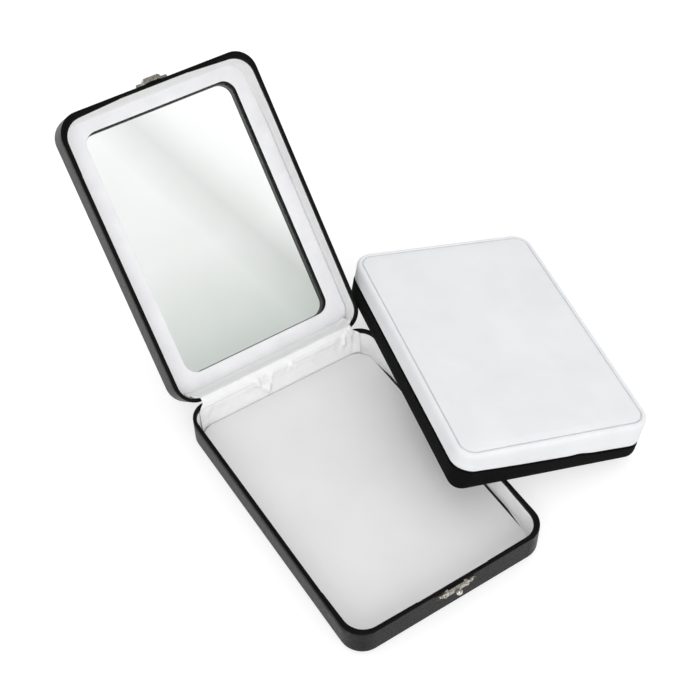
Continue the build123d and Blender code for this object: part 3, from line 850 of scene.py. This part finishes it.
def hinge_band():
    """Satin from the base's floor over the hinge to the lid's frame, its ends curved into the corners."""
    line, normals, length = band_section()
    straight = CASE_W / 2 - CORNER
    verts = []
    for i, ((y, z), (ny, nz)) in enumerate(zip(line, normals)):
        v = i / (len(line) - 1)
        # its two ends are held flat
        hold = min(v / 0.06, 1, (1 - v) / 0.05)
        # at the hinge the band is as narrow as the gap in the rims, and it widens below them
        narrow = math.exp(-(((v - RIDGE) / RIDGE_SPAN) ** 4))
        half = BAND_HALF - (BAND_HALF - RIDGE_HALF) * narrow
        for c in range(BAND_COLS):
            x = -half + 2 * half * (c / (BAND_COLS - 1))
            d = 0.2 * wave(x, v * 30, 0, 0.1, 1.5) + 0.1 * wave(x, v * 30, 0, 0.3, 8.0)
            d += creases(x, v) + crumple(x, v)
            d = max(min(d, BAND_OUT), BAND_IN) * hold
            past = min(max(abs(x) - straight, 0), WALL_R * 0.8)
            d += (WALL_R - math.sqrt(WALL_R ** 2 - past ** 2)) * (1 - narrow)
            verts.append((x, y + ny * d, z + nz * d))
    obj = make("satin_hinge_band", verts, grid_faces(len(line), BAND_COLS))
    thicken(obj, BAND_CLOTH)
    return skin(obj, mat_band_lit_copy), 2 * BAND_HALF, length


def fold(x, v, at, lean, width, middle, height):
    """One fold that runs up the band, leaning by so many millimetres over the band's length."""
    return bump(x, at + lean * (v - middle), width) * bump(v, middle, height)


def creases(x, v):
    """Soft rolls that run along the hinge."""
    roll = 0.12 * wave(x, 0, 0, 0.05, 21.0)
    d = 0.3 * bump(v, 0.585 + 0.02 * roll, 0.03) - 0.28 * bump(v, 0.535 + 0.05 * roll, 0.02)
    d += 0.35 * bump(v, 0.44, 0.035) - 0.22 * bump(v, 0.39 + 0.08 * roll, 0.025)
    d += 0.25 * bump(v, 0.72, 0.05) - 0.2 * bump(v, 0.8, 0.03)
    return d


def crumple(x, v):
    """Folds in the band, raised toward the inside of the case."""
    # a pinched fold left of the middle, with a slit on each side of its head
    d = 2.6 * fold(x, v, -8.4, -5, 1.9, 0.2, 0.1)
    d += 2.0 * fold(x, v, -6.4, 8, 1.2, 0.35, 0.09) + 1.6 * fold(x, v, -13.0, -6, 1.5, 0.37, 0.08)
    d -= 2.2 * fold(x, v, -11.0, -6, 0.75, 0.37, 0.07) + 2.4 * fold(x, v, -8.9, 3, 0.7, 0.36, 0.08)
    d -= 0.9 * fold(x, v, -14.2, -14, 2.6, 0.22, 0.13)
    # a smaller one right of the middle, under the ridge
    d += 1.3 * fold(x, v, 6.0, 10, 1.2, 0.44, 0.05) - 0.7 * fold(x, v, 3.8, 10, 0.9, 0.41, 0.06)
    d -= 0.45 * fold(x, v, 8.2, 10, 0.9, 0.4, 0.06)
    # pleats where the band is tucked into the right corner
    d -= 0.9 * fold(x, v, 34.4, 5, 1.8, 0.36, 0.12)
    d += 1.5 * fold(x, v, 37.2, 9, 1.3, 0.36, 0.09) - 0.9 * fold(x, v, 39.2, -6, 0.9, 0.32, 0.12)
    d += 1.2 * fold(x, v, 41.4, -8, 1.1, 0.34, 0.1) - 0.9 * fold(x, v, 43.4, 3, 0.9, 0.28, 0.2)
    d += 0.3 * bump(x, 39.0, 5.0) * wave(x, v * 22, 0, 0.7, 5.0)
    d += 0.4 * fold(x, v, -41.5, 6, 1.8, 0.28, 0.14) - 0.4 * fold(x, v, -38.5, 10, 1.4, 0.3, 0.12)
    # small unevenness of the glued base part
    d += 0.1 * bump(v, 0.25, 0.2) * wave(x, v * 30, 0, 0.45, 14.0)
    return d


band, band_w, band_l = hinge_band()
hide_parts("hinge_satin_base", "hinge_satin_lid")
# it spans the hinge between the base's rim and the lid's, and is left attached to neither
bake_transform(band)


# Velvet pad

FIELD_X = 44
FIELD_Y = 60
ARC_STEPS = 7
SMALLEST_R = 1.2


def pad_ring(inset, near=(1.0, 0.0)):
    """The four sides of a ring of the pad's plan, each from the middle of one round corner to the next.

    The left and front sides are set in by only a share of the inset, and stand proud by the second value.
    """
    near_inset = inset * near[0] - near[1]
    r = max(PAD_R - inset, SMALLEST_R)
    cx, cy = PAD_W / 2 - inset - r, PAD_L / 2 - inset - r
    left, front = PAD_W / 2 - near_inset - r, PAD_L / 2 - near_inset - r
    quarter = math.pi / 4

    def arc(ox, oy, start):
        angles = [start - quarter * i / ARC_STEPS for i in range(ARC_STEPS)]
        return [(ox + r * math.cos(a), oy + r * math.sin(a)) for a in angles]

    def run(ax, ay, bx, by, count):
        return [(ax + (bx - ax) * i / count, ay + (by - ay) * i / count) for i in range(count)]

    # the corners' middles with the angle at which each one's second half begins
    corners = [(cx, cy, quarter), (cx, -front, -quarter)]
    corners += [(-left, -front, -3 * quarter), (-left, cy, -5 * quarter)]
    sides = []
    counts = [FIELD_Y, FIELD_X, FIELD_Y, FIELD_X]
    for i in range(4):
        ox, oy, a = corners[i]
        nx, ny, _ = corners[(i + 1) % 4]
        b = a - quarter
        start_point = (ox + r * math.cos(b), oy + r * math.sin(b))
        end_point = (nx + r * math.cos(b), ny + r * math.sin(b))
        straight = run(*start_point, *end_point, counts[i] - 2 * ARC_STEPS)
        sides.append(arc(ox, oy, a) + straight + arc(nx, ny, b))
    return sides


def from_sides(x, y):
    """How far a point lies in from the nearest of the pad's straight sides."""
    return min(PAD_W / 2 - abs(x), PAD_L / 2 - abs(y))


def edge_inset(x, y):
    """How far a point lies in from the pad's outline."""
    qx = abs(x) - (PAD_W / 2 - PAD_R)
    qy = abs(y) - (PAD_L / 2 - PAD_R)
    return PAD_R - math.hypot(max(qx, 0), max(qy, 0)) - min(max(qx, qy), 0)


def inner_point(sides, corners, u, v):
    """A point inside a four-sided field, from the points facing it on the sides and from the corners."""
    top, bottom, left, right = sides
    ne, se, sw, nw = corners
    point = []
    for k in range(2):
        value = (1 - v) * top[k] + v * bottom[k] + (1 - u) * left[k] + u * right[k]
        value -= (1 - u) * (1 - v) * nw[k] + u * (1 - v) * ne[k] + (1 - u) * v * sw[k] + u * v * se[k]
        point.append(value)
    return point


def close_ring(verts, faces, base, z_of):
    """Closes the ring of points that begins at base with a four-sided field of points and faces."""
    # the ring runs down the east side, then south, west and north
    south, west, north = base + FIELD_Y, base + FIELD_Y + FIELD_X, base + 2 * FIELD_Y + FIELD_X
    corners = [verts[i][:2] for i in (base, south, west, north)]
    grid = {}
    for j in range(FIELD_Y):
        grid[FIELD_X, j] = base + j
        grid[0, FIELD_Y - j] = west + j
    for i in range(FIELD_X):
        grid[FIELD_X - i, FIELD_Y] = south + i
        grid[i, 0] = north + i
    for j in range(1, FIELD_Y):
        for i in range(1, FIELD_X):
            facing = (grid[i, 0], grid[i, FIELD_Y], grid[0, j], grid[FIELD_X, j])
            point = inner_point([verts[k] for k in facing], corners, i / FIELD_X, j / FIELD_Y)
            grid[i, j] = len(verts)
            verts.append((*point, z_of(edge_inset(*point))))
    for j in range(FIELD_Y):
        for i in range(FIELD_X):
            faces.append((grid[i, j], grid[i + 1, j], grid[i + 1, j + 1], grid[i, j + 1]))


def pad_side(name, rings, material, low_z, high_z, near=(1.0, 0.0)):
    """One velvet side of the pad: rings of (inset, height) closed below and above by four-sided fields."""
    verts = []
    for inset, height in rings:
        for points in pad_ring(inset, near):
            verts += [(x, y, height) for x, y in points]
    count = 2 * (FIELD_X + FIELD_Y)
    faces = grid_faces(len(rings), count, True)
    close_ring(verts, faces, 0, low_z)
    close_ring(verts, faces, (len(rings) - 1) * count, high_z)
    obj = make(name, verts, faces)
    face_outward(obj)
    return skin(obj, material)


CROWN_EDGE = 21.72
CROWN_RISE = 0.5
CROWN_RUN = 48.0


def crown(inset):
    """The height of the white side's top, which rises from its edge toward the middle."""
    return CROWN_EDGE + CROWN_RISE * (1 - (1 - min(inset / CROWN_RUN, 1)) ** 2.2)


# Each ring is (inset, height), from the seam up on the white side and from the underside up on the black one
WHITE_RINGS = [
    (4.0, 11.1), (2.4, 11.12), (1.2, 11.14), (0.62, 11.22), (0.26, 11.48), (0.06, 11.85), (0.0, 12.3),
    (0.08, 13.4), (0.17, 15.0), (0.14, 16.8), (0.04, 18.4), (0.02, 19.3), (0.14, 20.2), (0.42, 20.95),
    (0.86, 21.44), (1.4, 21.68), (1.95, 21.74), (2.35, 21.66), (2.58, 21.4), (2.72, 20.9), (2.82, 20.5),
    (2.92, 20.5), (3.02, 20.9), (3.16, 21.4), (3.4, 21.64), (3.8, 21.74),
    (4.9, crown(4.9)), (6.0, crown(6.0)),
]
BLACK_RINGS = [
    (6.5, 0.02), (5.2, 0.02), (4.2, 0.04), (3.3, 0.16), (2.5, 0.5), (1.85, 1.05), (1.4, 1.8), (1.08, 2.8),
    (0.98, 4.0), (1.06, 5.6), (1.1, 7.2), (1.0, 8.8), (0.95, 9.9), (1.0, 10.4), (1.22, 10.75), (1.6, 10.9),
    (2.4, 10.94), (4.0, 10.95),
]
# The black side stands a little proud of the white one on the left and in front
BLACK_NEAR = (0.3, 0.75)
pad_white = pad_side("velvet_pad_white", WHITE_RINGS, mat_white, lambda inset: WHITE_RINGS[0][1], crown)
pad_black = pad_side(
    "velvet_pad_black", BLACK_RINGS, mat_black,
    lambda inset: BLACK_RINGS[0][1], lambda inset: BLACK_RINGS[-1][1], BLACK_NEAR,
)


def swell(obj, moving, cap, pressure, frames=20, scale=10.0):
    """A short pressure simulation that rounds a padded side, with its travel capped.

    moving takes a point in millimetres and gives the share to which it may move.
    """
    work = obj.copy()
    work.data = obj.data.copy()
    bpy.context.collection.objects.link(work)
    work.data.transform(Matrix.Scale(scale, 4))
    pins = work.vertex_groups.new(name="pins")
    for vertex in work.data.vertices:
        share = moving(vertex.co / (scale * MM))
        if share < 1:
            pins.add([vertex.index], 1 - share, "REPLACE")
    cloth = work.modifiers.new("cloth", "CLOTH")
    settings = cloth.settings
    settings.quality = 6
    settings.mass = 0.3
    settings.tension_stiffness = 30
    settings.compression_stiffness = 30
    settings.shear_stiffness = 15
    settings.bending_stiffness = 3
    settings.use_pressure = True
    settings.uniform_pressure_force = pressure
    settings.effector_weights.gravity = 0
    settings.vertex_group_mass = "pins"
    settings.pin_stiffness = 1.0
    cloth.collision_settings.use_self_collision = False
    cloth.point_cache.frame_start = 1
    cloth.point_cache.frame_end = frames
    scene = bpy.context.scene
    for number in range(1, frames + 1):
        scene.frame_set(number)
    deps = bpy.context.evaluated_depsgraph_get()
    result = work.evaluated_get(deps).to_mesh()
    limit = cap * MM
    for vertex, moved in zip(obj.data.vertices, result.vertices):
        step = moved.co / scale - vertex.co
        if step.length > limit:
            step = step * (limit / step.length)
        vertex.co = vertex.co + step
    bpy.data.objects.remove(work)
    scene.frame_set(1)


# Heights from which the white side's top moves and between which the walls move, and the walls' share
WHITE_TOP = 21.3
WHITE_WALL = (12.5, 20)
BLACK_WALL = (2.5, 9.5)
PIPING_IN = 4.0
WALL_SHARE = 0.6


def white_moves(co):
    """The top inside the piping moves freely, and the side walls partly."""
    inset = from_sides(co.x, co.y)
    if co.z > WHITE_TOP and inset > PIPING_IN:
        return 1.0
    if WHITE_WALL[0] < co.z < WHITE_WALL[1] and inset < 1.0:
        return WALL_SHARE
    return 0.0


def black_moves(co):
    """Only the side walls move, and partly."""
    if BLACK_WALL[0] < co.z < BLACK_WALL[1] and from_sides(co.x, co.y) < 2.0:
        return WALL_SHARE
    return 0.0


swell(pad_white, white_moves, 0.35, 4.0)
swell(pad_black, black_moves, 0.12, 2.0)


# The seam sags most at the front's right end, and the sag fades out above it, to the left and to the back
SAG = 4.3
SAG_ABOVE = 9.0
SAG_FROM = 45.0
SAG_BACK_RUN = 22.0
SAG_LEFT_RUN = 93.0


def seam_drop(x, y, z):
    """How far the seam sags along the front, more toward the right, fading out above and below it."""
    front = clamp((-y - SAG_FROM) / SAG_BACK_RUN)
    share = clamp((x + SAG_FROM) / SAG_LEFT_RUN) ** 0.8
    high = z / PAD_SEAM if z < PAD_SEAM else max(1 - (z - PAD_SEAM) / SAG_ABOVE, 0)
    wavy = 0.25 * wave(x, 0, 0, 0.12, 31.0) + 0.9 * bump(x, 14.0, 3.0)
    return (SAG * share - wavy) * high * front * front * (3 - 2 * front)


# The top that is uneven, by its height and distance in, and the walls that are drawn in
UNEVEN_TOP = (21.5, 3.6)
DRAWN_WALL = (12.0, 20.5)
DRAWN_IN_TO = 1.4


def finish_side(obj, seed, hollow):
    """Hand-worked unevenness of the stuffing and the seam, then one subdivision."""
    for vertex in obj.data.vertices:
        x, y, z = (c / MM for c in vertex.co)
        z -= seam_drop(x, y, z)
        inset = from_sides(x, y)
        if z > UNEVEN_TOP[0] and inset > UNEVEN_TOP[1]:
            z += 0.09 * wave(x, y, 0, 0.05, seed) + 0.035 * wave(x, y, 0, 0.16, seed + 3)
        elif hollow and inset < DRAWN_IN_TO and DRAWN_WALL[0] < z < DRAWN_WALL[1]:
            pull = max(0.06 - 0.1 * wave(x, y, z * 0.4, 0.06, seed + 5), 0)
            length = math.hypot(x, y) or 1.0
            x -= x / length * pull
            y -= y / length * pull
        vertex.co = (x * MM, y * MM, z * MM)
    sub = obj.modifiers.new("soften", "SUBSURF")
    sub.levels = 1
    sub.render_levels = 1
    apply_all(obj)
    obj.data.shade_smooth()
    obj.data.transform(in_metres(PAD_PLACE))


finish_side(pad_white, 4.0, True)
finish_side(pad_black, 11.0, False)
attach(pad_white, "pad")
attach(pad_black, "pad")
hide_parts("pad_velvet_white")
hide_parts("pad_velvet_black")


# Floor, light and camera


def white_light(tree, kind, strength):
    """A white emission or background of one strength."""
    return new_node(tree, kind, Color=(1, 1, 1, 1), Strength=strength)


def either(tree, a, b):
    """1 where either of two ray flags is set."""
    node = new_node(tree, "Math")
    node.operation = "MAXIMUM"
    tree.links.new(a, node.inputs[0])
    tree.links.new(b, node.inputs[1])
    return node.outputs[0]


def choose(tree, flag, off, on):
    """The first shader, or the second where the flag is set."""
    node = new_node(tree, "MixShader")
    tree.links.new(flag, node.inputs[0])
    tree.links.new(off.outputs[0], node.inputs[1])
    tree.links.new(on.outputs[0], node.inputs[2])
    return node


# The ground glows where the camera or a shiny surface sees it, and less where it only lights the object
GROUND_HALF = 6000
GROUND_DROP = 0.02
GROUND_TONE = 0.5
GROUND_SEEN = 0.6
GROUND_BOUNCE = 0.3
ground_corners = [(x * GROUND_HALF, y * GROUND_HALF, 0) for x, y in ((-1, -1), (1, -1), (1, 1), (-1, 1))]
floor = make("ground_plane", ground_corners, [(0, 1, 2, 3)], False)
floor.location.z = -GROUND_DROP * MM
ground = bpy.data.materials.new("pale_ground")
tree = empty_tree(ground)
out = new_node(tree, "OutputMaterial")
diffuse = new_node(tree, "BsdfDiffuse", Color=(*grey(GROUND_TONE), 1))
path = new_node(tree, "LightPath")
seen = either(tree, path.outputs["Is Camera Ray"], path.outputs["Is Transmission Ray"])
seen = either(tree, seen, path.outputs["Is Glossy Ray"])
glow = white_light(tree, "Emission", GROUND_SEEN)
bounce = white_light(tree, "Emission", GROUND_BOUNCE)
total = new_node(tree, "AddShader")
tree.links.new(diffuse.outputs[0], total.inputs[0])
tree.links.new(choose(tree, seen, bounce, glow).outputs[0], total.inputs[1])
tree.links.new(total.outputs[0], out.inputs[0])
skin(floor, ground)

# The light tent is brighter round its walls than overhead, and shiny surfaces see it darker
TENT_WALLS = 1.16
TENT_TOP = 0.82
TENT_MIRRORED = 0.3
world = bpy.data.worlds.new("studio")
bpy.context.scene.world = world
tree = empty_tree(world)
out = new_node(tree, "OutputWorld")
split = new_node(tree, "SeparateXYZ")
tree.links.new(new_node(tree, "TexCoord").outputs["Generated"], split.inputs[0])
height = new_node(tree, "MapRange", From_Min=0.0, From_Max=1.0, To_Min=TENT_WALLS, To_Max=TENT_TOP)
tree.links.new(split.outputs["Z"], height.inputs["Value"])
tent = white_light(tree, "Background", 1.0)
tree.links.new(height.outputs[0], tent.inputs["Strength"])
path = new_node(tree, "LightPath")
seen = either(tree, path.outputs["Is Camera Ray"], path.outputs["Is Transmission Ray"])
mirrored = white_light(tree, "Background", TENT_MIRRORED)
shiny = choose(tree, path.outputs["Is Glossy Ray"], tent, mirrored)
final = choose(tree, seen, shiny, white_light(tree, "Background", 1.0))
tree.links.new(final.outputs[0], out.inputs[0])


def softbox(name, place, aim, size, watts):
    """A large soft area light."""
    lamp = bpy.data.lights.new(name, "AREA")
    lamp.shape = "RECTANGLE"
    lamp.size, lamp.size_y = size
    lamp.energy = watts
    obj = bpy.data.objects.new(name, lamp)
    bpy.context.collection.objects.link(obj)
    obj.location = place
    obj.rotation_euler = (Vector(aim) - Vector(place)).to_track_quat("-Z", "Y").to_euler()


centre = (0.045, 0.07, 0.03)
softbox("key_softbox", (-0.42, -0.93, 0.7), centre, (1.0, 0.8), 5.0)
softbox("fill_softbox", (0.8, 0.3, 1.0), centre, (0.8, 0.8), 0.8)

# Camera solved from the photograph's straight edges
AZ = math.radians(-32.5513)
EL = math.radians(48.9859)
ROLL = math.radians(-0.7769)
TARGET = Vector((42.6825, 74.646, 1.23)) * MM
DISTANCE = 681.366 * MM
FOCAL_PIXELS = 1315.896
PICTURE_PIXELS = 700.0
SENSOR = 36.0
back = Vector((math.sin(AZ) * math.cos(EL), -math.cos(AZ) * math.cos(EL), math.sin(EL)))
side = (-back).cross(Vector((0, 0, 1))).normalized()
rise = side.cross(-back)
right = math.cos(ROLL) * side + math.sin(ROLL) * rise
up = -math.sin(ROLL) * side + math.cos(ROLL) * rise
lens = bpy.data.cameras.new("photo_camera")
lens.sensor_width = SENSOR
lens.lens = SENSOR * FOCAL_PIXELS / PICTURE_PIXELS
lens.clip_start = 0.01
camera = bpy.data.objects.new("photo_camera", lens)
bpy.context.collection.objects.link(camera)
turn = Matrix((right, up, back)).transposed().to_4x4()
camera.matrix_world = Matrix.Translation(TARGET + back * DISTANCE) @ turn
bpy.context.scene.camera = camera
bpy.context.scene.view_settings.view_transform = "Standard"
